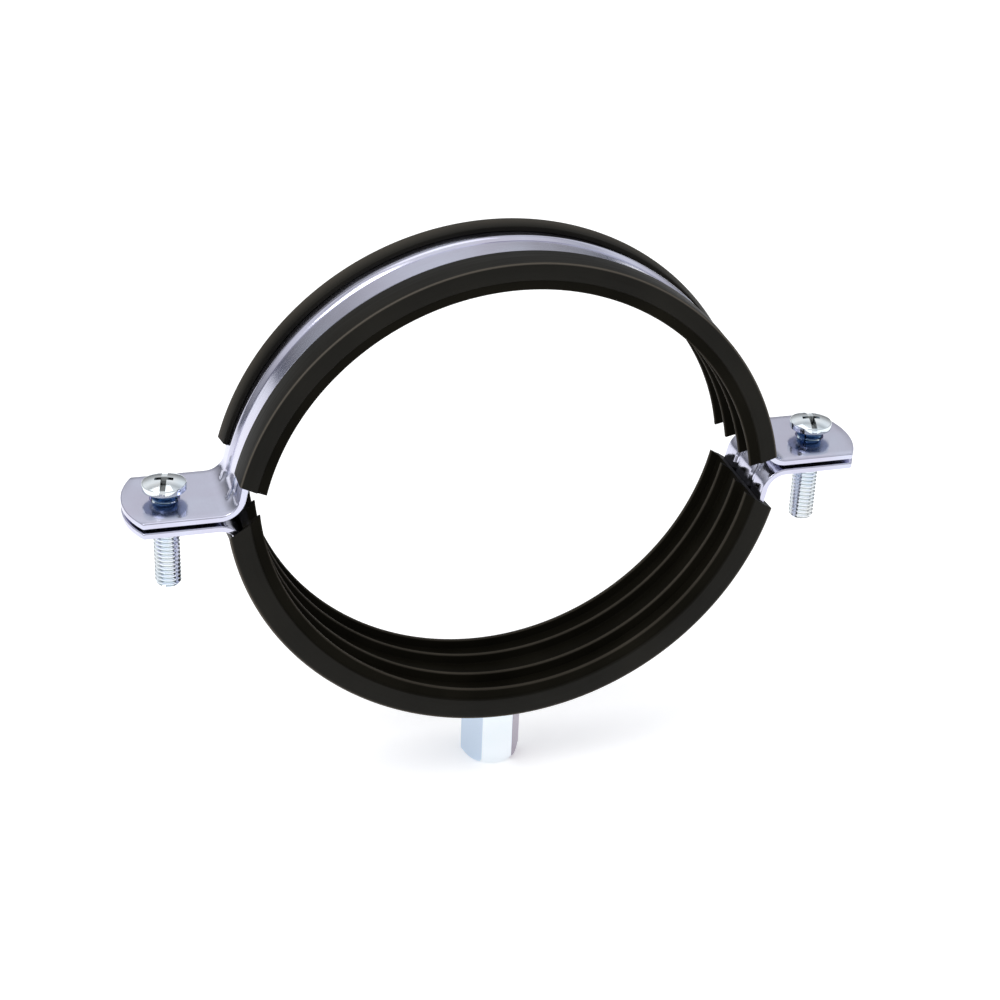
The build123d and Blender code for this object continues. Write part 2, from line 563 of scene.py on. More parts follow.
def set_points(tree: GeometryTree, mesh: bpy.types.NodeSocket,
               place: bpy.types.NodeSocket) -> bpy.types.NodeSocket:
    """Move a mesh's points.

    Args:
        tree: the tree that is being built.
        mesh: the mesh.
        place: the new place of each point.

    Returns:
        The moved mesh.
    """
    node = tree.add("GeometryNodeSetPosition")
    tree.feed(node.inputs["Geometry"], mesh)
    tree.feed(node.inputs["Position"], place)
    return node.outputs[0]


def ring_sweep_tree() -> GeometryTree:
    """Tree that sweeps a section about the Y axis between two angles of its own at each point.

    The section's points hold radius in X and place across in Y, with the two angles as the
    attributes turn_start and turn_end.

    Returns:
        The tree, with the inputs Steps, Points and Material.
    """
    tree = GeometryTree("ring_sweep", {
        "Steps": "NodeSocketInt", "Points": "NodeSocketInt", "Material": "NodeSocketMaterial"})
    mesh, step, column = grid_places(tree, tree.inputs["Steps"], tree.inputs["Points"])
    index = tree.calc("MODULO", column, tree.inputs["Points"])

    def sampled(kind: str, source: bpy.types.NodeSocket) -> bpy.types.NodeSocket:
        """Read the section's point that belongs to this column.

        Args:
            kind: the value's data type.
            source: the value on the section.

        Returns:
            The value at that point.
        """
        node = tree.add("GeometryNodeSampleIndex", data_type=kind)
        tree.feed(node.inputs["Geometry"], tree.inputs["Geometry"])
        tree.feed(node.inputs["Value"], source)
        tree.feed(node.inputs["Index"], index)
        return node.outputs[0]

    def named(name: str) -> bpy.types.NodeSocket:
        """Read an attribute of the section.

        Args:
            name: the attribute's name.

        Returns:
            Its value.
        """
        node = tree.add("GeometryNodeInputNamedAttribute", data_type="FLOAT")
        tree.feed(node.inputs["Name"], name)
        return node.outputs[0]

    start = sampled("FLOAT", named("turn_start"))
    end = sampled("FLOAT", named("turn_end"))
    share = tree.calc("DIVIDE", step, tree.inputs["Steps"])
    angle = tree.calc("MULTIPLY_ADD", tree.calc("SUBTRACT", end, start), share, start)
    point = tree.add("GeometryNodeInputPosition").outputs[0]
    radius, across, _ = tree.split(sampled("FLOAT_VECTOR", point))
    place = tree.vector(
        tree.calc("MULTIPLY", radius, tree.calc("COSINE", angle)),
        across,
        tree.calc("MULTIPLY", radius, tree.calc("SINE", angle)))
    tree.close(set_points(tree, mesh, place))
    return tree


def thread_tree() -> GeometryTree:
    """Tree that makes a solid rod with a helical thread, from z = 0 down to its chamfered tip.

    Returns:
        The tree, with inputs for its sizes and its material.
    """
    tree = GeometryTree("screw_thread", {
        "Length": "NodeSocketFloat", "Pitch": "NodeSocketFloat", "Crest Radius": "NodeSocketFloat",
        "Depth": "NodeSocketFloat", "Tip Radius": "NodeSocketFloat", "Neck": "NodeSocketFloat",
        "Rows Per Turn": "NodeSocketInt", "Around": "NodeSocketInt", "Material": "NodeSocketMaterial"})
    root_share, crest_share = 0.1, 0.85
    value = tree.inputs
    turns = tree.calc("ADD", tree.calc("DIVIDE", value["Length"], value["Pitch"]), 1.0)
    steps = tree.calc("MULTIPLY_ADD", turns, value["Rows Per Turn"], 2.0)
    mesh, step, column = grid_places(tree, steps, value["Around"])
    turn = tree.calc("DIVIDE", column, value["Around"])
    row = tree.calc("DIVIDE", tree.calc("SUBTRACT", step, 1.0), value["Rows Per Turn"])
    run = tree.calc("MULTIPLY", tree.calc("SUBTRACT", tree.calc("ADD", row, turn), 1.0), value["Pitch"])
    down = tree.calc("MAXIMUM", tree.calc("MINIMUM", run, value["Length"]), 0.0)
    wave = tree.calc("FRACT", row)
    ridge = tree.calc("ABSOLUTE", tree.calc("MULTIPLY_ADD", wave, 2.0, -1.0))
    flank = tree.ramp(ridge, root_share, crest_share, 0.0, 1.0)
    fade = tree.ramp(down, 0.0, value["Neck"], 0.0, 1.0, "SMOOTHSTEP")
    cut = tree.calc("MULTIPLY", tree.calc("SUBTRACT", 1.0, flank), value["Depth"])
    threaded = tree.calc("SUBTRACT", value["Crest Radius"], tree.calc("MULTIPLY", cut, fade))
    room = tree.calc("SUBTRACT", value["Length"], down)
    radius = tree.calc("MINIMUM", threaded, tree.calc("ADD", value["Tip Radius"], room))
    from_top = tree.calc("GREATER_THAN", step, 0.5)
    to_tip = tree.calc("LESS_THAN", step, tree.calc("SUBTRACT", steps, 0.5))
    radius = tree.calc("MULTIPLY", radius, tree.calc("MULTIPLY", from_top, to_tip))
    angle = tree.calc("MULTIPLY", turn, math.tau)
    place = tree.vector(
        tree.calc("MULTIPLY", radius, tree.calc("COSINE", angle)),
        tree.calc("MULTIPLY", radius, tree.calc("SINE", angle)),
        tree.calc("MULTIPLY", down, -1.0))
    tree.close(set_points(tree, mesh, place))
    return tree


# ---------------------------------------------------------------- finishes

class Finish(Nodes):
    """Base of the procedural finishes: a material with one principled shader."""

    def __init__(self, name: str) -> None:
        """Create the material and its shader.

        Args:
            name: the material's name.
        """
        self.material = bpy.data.materials.new(name)
        self.material.use_nodes = True
        super().__init__(self.material.node_tree)
        out = self.add("ShaderNodeOutputMaterial")
        self.shader = self.add("ShaderNodeBsdfPrincipled")
        self.feed(out.inputs["Surface"], self.shader.outputs[0])
        self.place = self.add("ShaderNodeTexCoord").outputs["Object"]

    def noise(self, vector: bpy.types.NodeSocket, scale: float,
              detail: float = 3.0) -> bpy.types.NodeSocket:
        """Add a noise texture.

        Args:
            vector: where it is read.
            scale: how fine it is.
            detail: how many finer layers it has.

        Returns:
            A value between about 0 and 1.
        """
        node = self.add("ShaderNodeTexNoise")
        self.feed(node.inputs["Vector"], vector)
        self.feed(node.inputs["Scale"], scale)
        self.feed(node.inputs["Detail"], detail)
        return node.outputs[0]

    def blend(self, share: bpy.types.NodeSocket, first: bpy.types.NodeSocket | Colour,
              second: Colour) -> bpy.types.NodeSocket:
        """Mix two colours.

        Args:
            share: share of the second colour, from 0 to 1.
            first: a colour, or the socket that gives one.
            second: the colour that is mixed in.

        Returns:
            The mixed colour.
        """
        node = self.add("ShaderNodeMix", data_type="RGBA")
        self.feed(node.inputs["Factor"], share)
        self.feed(node.inputs[6], first if isinstance(first, bpy.types.NodeSocket) else (*first, 1.0))
        self.feed(node.inputs[7], (*second, 1.0))
        return node.outputs[2]

    def coordinates(self) -> tuple[bpy.types.NodeSocket, ...]:
        """The object's X, Y and Z."""
        return self.split(self.place)

    def radius(self, centre_height: float) -> bpy.types.NodeSocket:
        """Distance from the axis of a ring whose centre stands at a height."""
        x, _, z = self.coordinates()
        return self.distance(x, self.calc("SUBTRACT", z, centre_height))

    def along_ring(self, centre_height: float, across: float, along: float) -> bpy.types.NodeSocket:
        """Coordinates that follow the ring: place across, angle along it, and radius.

        Args:
            centre_height: height of the ring's centre.
            across: stretch of the place across the strip, per metre.
            along: stretch of the angle round the ring, per radian.

        Returns:
            The stretched coordinates.
        """
        x, y, z = self.coordinates()
        height = self.calc("SUBTRACT", z, centre_height)
        return self.vector(
            self.calc("MULTIPLY", y, across),
            self.calc("MULTIPLY", self.calc("ARCTAN2", height, x), along),
            self.calc("MULTIPLY", self.distance(x, height), across))

    def bump(self, strength: float, distance: float, height: bpy.types.NodeSocket) -> None:
        """Feed a bump into the shader.

        Args:
            strength: how strongly it shows, from 0 to 1.
            distance: its depth.
            height: its height map.
        """
        node = self.add("ShaderNodeBump")
        self.feed(node.inputs["Strength"], strength)
        self.feed(node.inputs["Distance"], distance)
        self.feed(node.inputs["Height"], height)
        self.feed(self.shader.inputs["Normal"], node.outputs[0])


@dataclass(frozen=True)
class ZincFinish:
    """Bright zinc plate on rolled or turned steel: clouds in its tint, fine lines along the strip."""

    name: str
    tint: Colour
    cool: Colour
    roughness: float
    centre_height: float
    cloud_scale: float = 90.0
    cloud_detail: float = 4.0
    cloud_span: Point = (0.35, 0.7)
    gloss_span: Point = (0.3, 0.7)
    gloss_change: Point = (-0.03, 0.05)
    streak_change: Point = (-0.04, 0.05)
    line_across: float = 2600.0
    line_along: float = 5.0
    line_detail: float = 2.0
    line_bump: float = 0.08
    bump_depth: float = 0.02 * MM

    def material(self) -> bpy.types.Material:
        """Build the finish.

        Returns:
            A metal.
        """
        finish = Finish(self.name)
        shader = finish.shader
        clouds = finish.noise(finish.place, self.cloud_scale, self.cloud_detail)
        run = finish.along_ring(self.centre_height, self.line_across, self.line_along)
        lines = finish.noise(run, 1.0, self.line_detail)
        colour = finish.blend(finish.ramp(clouds, *self.cloud_span, 0.0, 1.0), self.tint, self.cool)
        # Subclasses paint light or shade into the colour here.
        finish.feed(shader.inputs["Base Color"], self.worked(finish, colour))
        finish.feed(shader.inputs["Metallic"], 1.0)
        smooth, rough = (self.roughness + change for change in self.gloss_change)
        finish.feed(shader.inputs["Roughness"], finish.calc(
            "ADD", finish.ramp(clouds, *self.gloss_span, smooth, rough),
            finish.ramp(lines, *self.gloss_span, *self.streak_change)))
        if self.line_bump > 0:
            finish.bump(self.line_bump, self.bump_depth, lines)
        return finish.material

    def worked(self, finish: Finish, colour: bpy.types.NodeSocket) -> bpy.types.NodeSocket:
        """Paint light or shade of the piece into the colour; the plain finish paints none.

        Args:
            finish: the material that is being built.
            colour: the colour of the plain surface.

        Returns:
            The finished colour.
        """
        return colour


@dataclass(frozen=True)
class ScrewFinish(ZincFinish):
    """Blue zinc with painted shade: dark blue on the neck under the head and grey on the floor of the
    drive recess.
    """

    head_top: float = 0.0
    # Painted shade and reflection colour of the neck under the head.
    painted_neck_shade: Colour = (0.10, 0.20, 0.36)
    # Painted shade colour of the floor of the drive recess.
    painted_recess_shade: Colour = (0.16, 0.17, 0.17)
    seat_drop: float = 2.3 * MM
    neck_drop: float = 2.8 * MM
    ear_drop: float = 4.9 * MM
    ear_blend: float = 0.3 * MM
    recess_drop: float = 0.9 * MM
    recess_blend: float = 0.5 * MM
    recess_reach: float = 3.2 * MM
    reach_blend: float = 0.6 * MM
    screw_x: float = ClampSizes.screw_x

    def worked(self, finish: Finish, colour: bpy.types.NodeSocket) -> bpy.types.NodeSocket:
        """Paint shade: dark blue on the neck under the head and grey on the floor of the recess.

        Args:
            finish: the material that is being built.
            colour: the colour of the plain surface.

        Returns:
            The finished colour.
        """
        x, y, height = finish.coordinates()
        seat, neck, ear = (self.head_top - drop
                           for drop in (self.seat_drop, self.neck_drop, self.ear_drop))
        # Painted shade and reflection: the neck between the head's seat and the ear is coloured dark
        # blue.
        share = finish.calc("MULTIPLY", finish.ramp(height, neck, seat, 1.0, 0.0),
                            finish.ramp(height, ear - self.ear_blend, ear, 0.0, 1.0))
        colour = finish.blend(share, colour, self.painted_neck_shade)
        reach = finish.distance(
            finish.calc("SUBTRACT", finish.calc("ABSOLUTE", x), self.screw_x), y)
        floor = self.head_top - self.recess_drop
        # Painted shade: the floor of the drive recess, near the axis, is coloured grey.
        inside = finish.calc("MULTIPLY",
                             finish.ramp(height, floor - self.recess_blend, floor, 1.0, 0.0),
                             finish.ramp(height, neck, seat, 0.0, 1.0))
        inside = finish.calc("MULTIPLY", inside, finish.ramp(
            reach, self.recess_reach, self.recess_reach + self.reach_blend, 1.0, 0.0))
        return finish.blend(inside, colour, self.painted_recess_shade)


@dataclass(frozen=True)
class NutFinish(ZincFinish):
    """Zinc with painted reflection on the nut: dark rose on one front facet and blue on the facets
    across from it.
    """

    # Painted reflection colours of the nut's side facets.
    painted_rose_reflection: Colour = (0.26, 0.20, 0.29)
    painted_blue_reflection: Colour = (0.60, 0.70, 0.82)
    across_flats: float = ClampSizes.nut_across_flats
    edge_blend: float = 0.08 * MM

    def worked(self, finish: Finish, colour: bpy.types.NodeSocket) -> bpy.types.NodeSocket:
        """Paint reflection on the facets beyond the front and back ones.

        Args:
            finish: the material that is being built.
            colour: the colour of the plain surface.

        Returns:
            The finished colour.
        """
        x, y, _ = finish.coordinates()
        near = self.across_flats / (2 * math.sqrt(3))
        far = near + self.edge_blend
        # Painted reflection: dark rose on the front facet on the right.
        share = finish.calc("MULTIPLY", finish.ramp(x, near, far, 0.0, 1.0),
                            finish.ramp(y, -self.edge_blend, 0.0, 1.0, 0.0))
        colour = finish.blend(share, colour, self.painted_rose_reflection)
        # Painted reflection: blue on the facets on the left.
        return finish.blend(finish.ramp(x, -far, -near, 1.0, 0.0), colour, self.painted_blue_reflection)


@dataclass(frozen=True)
class RubberFinish:
    """Extruded black rubber: lines round the ring, a faint uneven bloom, painted highlights on the lip
    tops, rib tips and lip crowns.
    """

    name: str
    centre_height: float
    near_crown: float
    sizes: ClampSizes = ClampSizes()
    deep: Colour = (0.0045, 0.0040, 0.0025)
    dusty: Colour = (0.0110, 0.0098, 0.0066)
    # Painted highlight colour of the lip tops and rib tips.
    painted_highlight_tone: Colour = (0.062, 0.054, 0.043)
    # Painted highlight colour of the line along each lip's crown edge.
    crown_highlight_tone: Colour = (0.115, 0.100, 0.082)
    bloom_scale: float = 55.0
    bloom_detail: float = 5.0
    bloom_span: Point = (0.3, 0.75)
    line_across: float = 1500.0
    line_along: float = 4.0
    line_span: Point = (0.2, 0.8)
    line_share: Point = (0.55, 1.0)
    gloss_span: Point = (0.25, 0.75)
    roughness: Point = (0.46, 0.62)
    grain_scale: float = 2600.0
    grain_detail: float = 2.0
    grain_share: float = 0.3
    bump_strength: float = 0.35
    bump_depth: float = 0.05 * MM
    inner_sheen: float = 0.02
    sheen: float = 0.13
    face_rise: float = 0.45 * MM
    # Radii where the painted highlights on the lips and rib tips start and end.
    lip_highlight_span: Point = (1.2 * MM, 2.0 * MM)
    tip_highlight_span: Point = (0.03 * MM, 0.35 * MM)
    tip_highlight_share: float = 0.9
    highlight_least: float = 0.6
    # Place and width of the painted highlight line along the lip's crown.
    crown_highlight_drop: float = 0.15 * MM
    crown_highlight_width: float = 0.35 * MM

    def material(self) -> bpy.types.Material:
        """Build the finish.

        Returns:
            A rubber.
        """
        finish = Finish(self.name)
        shader = finish.shader
        bloom = finish.noise(finish.place, self.bloom_scale, self.bloom_detail)
        run = finish.along_ring(self.centre_height, self.line_across, self.line_along)
        lines = finish.noise(run, 1.0)
        grain = finish.noise(finish.place, self.grain_scale, self.grain_detail)
        share = finish.calc("MULTIPLY", finish.ramp(bloom, *self.bloom_span, 0.0, 1.0),
                            finish.ramp(lines, *self.line_span, *self.line_share))
        body = finish.blend(share, self.deep, self.dusty)
        # Painted highlight: lip tops and rib tips are coloured paler.
        body = finish.blend(self.painted_highlight_share(finish, share), body, self.painted_highlight_tone)
        # Painted highlight: a pale line along each lip's crown edge.
        body = finish.blend(self.crown_highlight_share(finish), body, self.crown_highlight_tone)
        finish.feed(shader.inputs["Base Color"], body)
        finish.feed(shader.inputs["Roughness"],
                    finish.ramp(lines, *self.gloss_span, *self.roughness))
        base = self.sizes.base_radius
        finish.feed(shader.inputs["Specular IOR Level"], finish.ramp(
            finish.radius(self.centre_height), base, base + self.face_rise,
            self.inner_sheen, self.sheen))
        height = finish.calc("MULTIPLY_ADD", lines, 1.0 - self.grain_share,
                             finish.calc("MULTIPLY", grain, self.grain_share))
        finish.bump(self.bump_strength, self.bump_depth, height)
        return finish.material

    def painted_highlight_share(self, finish: Finish, share: bpy.types.NodeSocket) -> bpy.types.NodeSocket:
        """Share of painted highlight: the outside of the lips and the tips of the ribs are painted
        paler.

        Args:
            finish: the material that is being built.
            share: the uneven bloom, which breaks up the paler places.

        Returns:
            A share from 0 to 1.
        """
        radius = finish.radius(self.centre_height)
        lip_start, lip_end = (self.sizes.strip_outer + rise for rise in self.lip_highlight_span)
        tip_start, tip_end = (self.sizes.seat_radius + rise for rise in self.tip_highlight_span)
        highlit = finish.calc("MAXIMUM", finish.ramp(radius, lip_start, lip_end, 0.0, 1.0),
                           finish.ramp(radius, tip_start, tip_end, self.tip_highlight_share, 0.0))
        return finish.calc("MULTIPLY", highlit, finish.calc(
            "MULTIPLY_ADD", share, 1.0 - self.highlight_least, self.highlight_least))

    def crown_highlight_share(self, finish: Finish) -> bpy.types.NodeSocket:
        """Share of the painted highlight line along the outer edge of each lip.

        Args:
            finish: the material that is being built.

        Returns:
            A share from 0 to 1.
        """
        aside = finish.calc("ABSOLUTE", finish.coordinates()[1])
        side = self.sizes.lining_half_width
        crown = self.near_crown - self.crown_highlight_drop
        return finish.calc(
            "MULTIPLY",
            finish.ramp(aside, side - self.crown_highlight_width, side, 0.0, 1.0),
            finish.ramp(finish.radius(self.centre_height), crown - self.crown_highlight_width, crown, 0.0, 1.0))


# ---------------------------------------------------------------- halves

@dataclass(frozen=True)
class LiningEnd:
    """One end of a lining: where the cut meets the lip's crown, and how far it leans."""

    angle: float
    lean: float

    def turn_at(self, radius: float, crown: float) -> float:
        """Angle from the horizontal at which the leaning cut meets a radius.

        Args:
            radius: distance from the arc's centre.
            crown: radius of the lip's crown, where the angle is given.

        Returns:
            The angle, in radians.
        """
        angle, lean = math.radians(self.angle), math.radians(self.lean)
        slide = crown * math.cos(lean) - math.sqrt(radius**2 - (crown * math.sin(lean))**2)
        x = crown * math.cos(angle) - slide * math.cos(angle + lean)
        z = crown * math.sin(angle) - slide * math.sin(angle + lean)
        return math.atan2(z, x)


@dataclass
class LinedHalf:
    """One half of the clamp: a bent strip with two ears, and the lining pushed over it."""

    half: Half
    body: str
    left_end: LiningEnd
    right_end: LiningEnd
    sizes: ClampSizes = field(default_factory=ClampSizes)
    bead: BeadShape = field(default_factory=BeadShape)
    lip_height: float = 2.0 * MM
    near_lip_height: float = 2.0 * MM
    lip_edge_height: float = 1.1 * MM
    near_lip_edge: float = 6.65 * MM
    far_lip_edge: float = 6.65 * MM
    lip_round: float = 0.4 * MM
    rib_tip: float = 0.9 * MM
    rib_root: float = 1.7 * MM
    inner_rib: float = 4.3 * MM
    outer_rib_inset: float = 1.3 * MM
    face_step: float = 0.35 * MM
    root_round: float = 0.35 * MM
    tip_round: float = 0.3 * MM
    heel_round: float = 0.12 * MM
    face_round: float = 0.25 * MM
    lip_top_round: float = 0.3 * MM
    lip_foot_round: float = 0.15 * MM
    bend_play: float = 0.04 * MM
    lip_free: Point = (0.1 * MM, 0.6 * MM)
    edge_round: float = 0.34 * MM
    edge_least: float = 0.05 * MM
    ear_end_x: float = 87.2 * MM
    ear_end_radius: float = 21.0 * MM
    hole_radius: float = 3.4 * MM
    drill_reach: float = 4.0 * MM
    middle_places: Point = (1.1 * MM, 2.2 * MM)
    rim_insets: Point = (1.5 * MM, 3.2 * MM)
    bead_steps: int = 9
    edge_steps: int = 4
    arc_steps: int = 168
    bend_steps: int = 20
    ear_steps: int = 10
    hole_steps: int = 64

    @property
    def centre(self) -> float:
        """Height of this half's arc centre."""
        return self.sizes.upper_centre if self.half is Half.UPPER else self.sizes.lower_centre

    @property
    def ear_face(self) -> float:
        """Distance of the ear's outer face from the arc's centre."""
        level = self.sizes.upper_ear_rise if self.half is Half.UPPER else self.sizes.lower_ear_depth
        return level + self.sizes.strip_thickness

    @property
    def bend_lean(self) -> float:
        """Angle below the horizontal at which the arc turns into the bend."""
        reach = self.sizes.strip_outer + self.sizes.bend_radius
        return math.asin((self.ear_face + self.sizes.bend_radius) / reach)

    def upright(self, x: float, y: float, depth: float) -> Vector:
        """Place a point by its depth from the arc's centre towards this half's crown."""
        return Vector((x, y, self.centre + self.half.value * depth))

    # ---- strip

    def strip_path(self) -> list[tuple[Vector, Vector, float]]:
        """Middle line of the strip from the right ear's bend round to the left one's.

        Returns:
            For each station its place (x, depth), its outward normal, and the bead's share of its
            full height there.
        """
        sizes = self.sizes
        middle = sizes.strip_outer - sizes.strip_thickness / 2
        lean = self.bend_lean
        reach = sizes.strip_outer + sizes.bend_radius
        hub = Vector((reach * math.cos(lean), reach * math.sin(lean)))
        bend = sizes.bend_radius + sizes.strip_thickness / 2
        stop = (math.pi / 2 - lean - self.bead.foot_angle) * sizes.bend_radius
        stations = []
        for step in range(self.bend_steps):
            turn = math.pi / 2 - (math.pi / 2 - lean) * step / self.bend_steps
            spoke = Vector((-math.cos(turn), -math.sin(turn)))
            share = self.foot_share(stop - (turn - lean) * sizes.bend_radius)
            stations.append((hub + spoke * bend, -spoke, share))
        for step in range(self.arc_steps + 1):
            turn = lean + (math.pi - 2 * lean) * step / self.arc_steps
            spoke = Vector((math.cos(turn), math.sin(turn)))
            share = 1.0
            if self.half is Half.LOWER:
                room = abs(spoke.x) * sizes.strip_outer - self.bead.nut_stop
                share = self.foot_share(room + self.bead.foot_length / 2)
            stations.append((spoke * middle, spoke, share))
        mirrored = [(Vector((-p.x, p.y)), Vector((-n.x, n.y)), s)
                    for p, n, s in reversed(stations[:self.bend_steps])]
        return stations + mirrored

    def foot_share(self, room: float) -> float:
        """Share of the bead's height at a distance before its foot ends."""
        reach = max(0.0, min(1.0, room / self.bead.foot_length))
        return math.sin(reach * math.pi / 2)

    def across_places(self) -> list[float]:
        """Places across the strip, close together at the beads and the rounded edges.

        Returns:
            The places in order, from one edge to the other.
        """
        half = self.sizes.strip_width / 2
        edge = self.edge_round
        places = [half - edge + edge * math.sin(math.pi / 2 * k / self.edge_steps)
                  for k in range(self.edge_steps + 1)]
        places += [self.bead.offset + self.bead.half_width * k / self.bead_steps
                   for k in range(-self.bead_steps, self.bead_steps + 1)]
        places += list(self.middle_places) + [half - edge - inset for inset in self.rim_insets]
        places = sorted(set(round(p, 8) for p in places))
        return [-p for p in reversed(places)] + [0.0] + places

    def half_thickness(self, across: float) -> float:
        """Half of the strip's thickness, less at the rounded edges.

        Args:
            across: distance from the strip's middle.

        Returns:
            Distance of each face from the middle line.
        """
        full = self.sizes.strip_thickness / 2
        past = abs(across) - (self.sizes.strip_width / 2 - self.edge_round)
        if past <= 0:
            return full
        return full - self.edge_round + math.sqrt(max(0.0, self.edge_round**2 - past**2))

    def strip_mesh(self) -> bpy.types.Mesh:
        """Skin the whole strip, from one ear's rounded end to the other's.

        Returns:
            A closed mesh without its screw holes.
        """
        across = self.across_places()
        loop = [(1, y) for y in across] + [(-1, y) for y in reversed(across)]
        path = self.strip_path()
        body = []
        for place, normal, share in path:
            row = []
            for face, y in loop:
                spot = place + normal * (face * self.half_thickness(y) + share * self.bead.rise(y))
                row.append(self.upright(spot.x, y, spot.y))
            body.append(row)
        right, left = (self.ear_rows(side, loop, path[0][0].x) for side in (Side.RIGHT, Side.LEFT))
        return mesh_from_rows("strip", list(reversed(right)) + body + left, ring=False)

    def ear_rows(self, side: Side, loop: list[tuple[int, float]],
                 bend_x: float) -> list[list[Vector]]:
        """Rows of one ear, from its bend outwards.

        Args:
            side: the ear's side.
            loop: face (1 or -1) and place across of each point of a row.
            bend_x: X where the ear's bend ends.

        Returns:
            The rows.
        """
        middle = self.ear_face - self.sizes.strip_thickness / 2
        rows = []
        for share, shrink in self.ear_shares():
            row = []
            for face, y in loop:
                x = bend_x + (self.ear_end(y) - self.edge_round - bend_x) * min(share, 1.0)
                x += self.edge_round * max(0.0, share - 1.0)
                thick = max(self.half_thickness(y) - shrink, self.edge_least)
                row.append(self.upright(side.value * x, y, middle + face * thick))
            rows.append(row)
        return rows

    def ear_shares(self) -> list[tuple[float, float]]:
        """Stations of an ear beyond its bend.

        Returns:
            Share of the ear's length, and how far it thins, at each station.
        """
        flat = [(k / self.ear_steps, 0.0) for k in range(1, self.ear_steps + 1)]
        turns = [math.pi / 2 * k / self.edge_steps for k in range(1, self.edge_steps + 1)]
        return flat + [(1.0 + math.sin(t), self.edge_round * (1 - math.cos(t))) for t in turns]

    def ear_end(self, across: float) -> float:
        """X of the ear's rounded end at a place across the strip."""
        return self.ear_end_x - self.ear_end_radius + math.sqrt(self.ear_end_radius**2 - across**2)

    def with_holes(self, mesh: bpy.types.Mesh) -> bpy.types.Mesh:
        """Drill the screw holes of both ears, with a drawn collar first in the lower half.

        Args:
            mesh: the plain strip.

        Returns:
            The drilled strip.
        """
        ear_top = self.centre + self.half.value * (self.ear_face - self.sizes.strip_thickness)
        reach = self.drill_reach
        for side in Side:
            spot = Matrix.Translation((side.value * self.sizes.screw_x, 0, ear_top))
            if self.half is Half.LOWER:
                collar = turned("collar", Collar().outline(), self.hole_steps)
                collar.transform(spot)
                mesh = solid_boolean(mesh, collar, "UNION")
            drill = turned("drill", [(0, -reach), (self.hole_radius, -reach),
                                     (self.hole_radius, reach), (0, reach)], self.hole_steps)
            drill.transform(spot)
            mesh = solid_boolean(mesh, drill, "DIFFERENCE")
        return closed_again(mesh)

    # ---- lining

    def lining_corners(self) -> list[Corner]:
        """Corners of the lining's section.

        Returns:
            Radius, place across and rounding of each corner.
        """
        sizes = self.sizes
        outer = sizes.lining_half_width
        pocket = sizes.strip_width / 2 + sizes.fit
        lip_face = sizes.strip_outer + sizes.fit
        far, near = [], []
        for side, lip_edge, lip_height in ((far, self.far_lip_edge, self.lip_height),
                                           (near, self.near_lip_edge, self.near_lip_height)):
            slope = (lip_height - self.lip_edge_height) / (outer - self.lip_round - lip_edge)
            crown = sizes.strip_outer + lip_height + slope * self.lip_round
            for middle in (self.inner_rib, outer - self.outer_rib_inset):
                side += [
                    (sizes.base_radius, middle - self.rib_root / 2, self.root_round),
                    (sizes.seat_radius, middle - self.rib_tip / 2, self.tip_round),
                    (sizes.seat_radius, middle + self.rib_tip / 2, self.tip_round),
                    (sizes.base_radius, middle + self.rib_root / 2, self.heel_round),
                ]
            side += [
                (sizes.base_radius + self.face_step, outer, self.face_round),
                (crown, outer, self.lip_round),
                (sizes.strip_outer + self.lip_edge_height, lip_edge, self.lip_top_round),
                (lip_face, lip_edge, self.lip_foot_round),
                (lip_face, pocket, 0),
                (sizes.strip_inner - sizes.fit, pocket, 0),
            ]
        return far + [(r, -y, rounding) for r, y, rounding in reversed(near)]

    def end_turn(self, end: LiningEnd, radius: float, across: float) -> float:
        """Angle at which the lining ends at a point of its section.

        Args:
            end: the end's cut.
            radius: the point's distance from the arc's centre.
            across: its place across the strip.

        Returns:
            The angle from the horizontal. The lips stop where the strip's bend starts.
        """
        sizes = self.sizes
        crown = sizes.strip_outer + self.lip_height
        cut = end.turn_at(radius, crown)
        if radius < sizes.strip_outer:
            return cut
        reach = sizes.strip_outer + sizes.bend_radius
        clear = sizes.bend_radius + self.bend_play
        cosine = (radius**2 + reach**2 - clear**2) / (2 * radius * reach)
        bend = self.bend_lean + math.acos(min(1.0, cosine))
        held, loose = self.lip_free
        past = (abs(across) - sizes.strip_width / 2 - held) / (loose - held)
        free = max(0.0, min(1.0, past))
        return max(cut, bend + (cut - bend) * free)

    def lining_mesh(self, tree: GeometryTree, material: bpy.types.Material) -> bpy.types.Mesh:
        """Sweep the lining's section round the ring and close its two ends.

        Args:
            tree: the ring sweep.
            material: the rubber.

        Returns:
            A closed mesh.
        """
        outline = rounded_outline(self.lining_corners())
        section = bpy.data.meshes.new("section")
        section.from_pydata([(r, y, 0) for r, y in outline], [], [])
        starts = [self.end_turn(self.right_end, r, y) for r, y in outline]
        ends = [math.pi - self.end_turn(self.left_end, r, y) for r, y in outline]
        for name, values in (("turn_start", starts), ("turn_end", ends)):
            section.attributes.new(name, "FLOAT", "POINT").data.foreach_set("value", values)
        mesh = tree.apply(section, {"Steps": self.arc_steps, "Points": len(outline),
                                    "Material": material})
        build = bmesh.new()
        build.from_mesh(mesh)
        for vertex in build.verts:
            vertex.co.z = self.centre + self.half.value * vertex.co.z
        rims = [edge for edge in build.edges if edge.is_boundary]
        caps = bmesh.ops.contextual_create(build, geom=rims)["faces"]
        bmesh.ops.triangulate(build, faces=caps, ngon_method="EAR_CLIP")
        return written("lining", build)

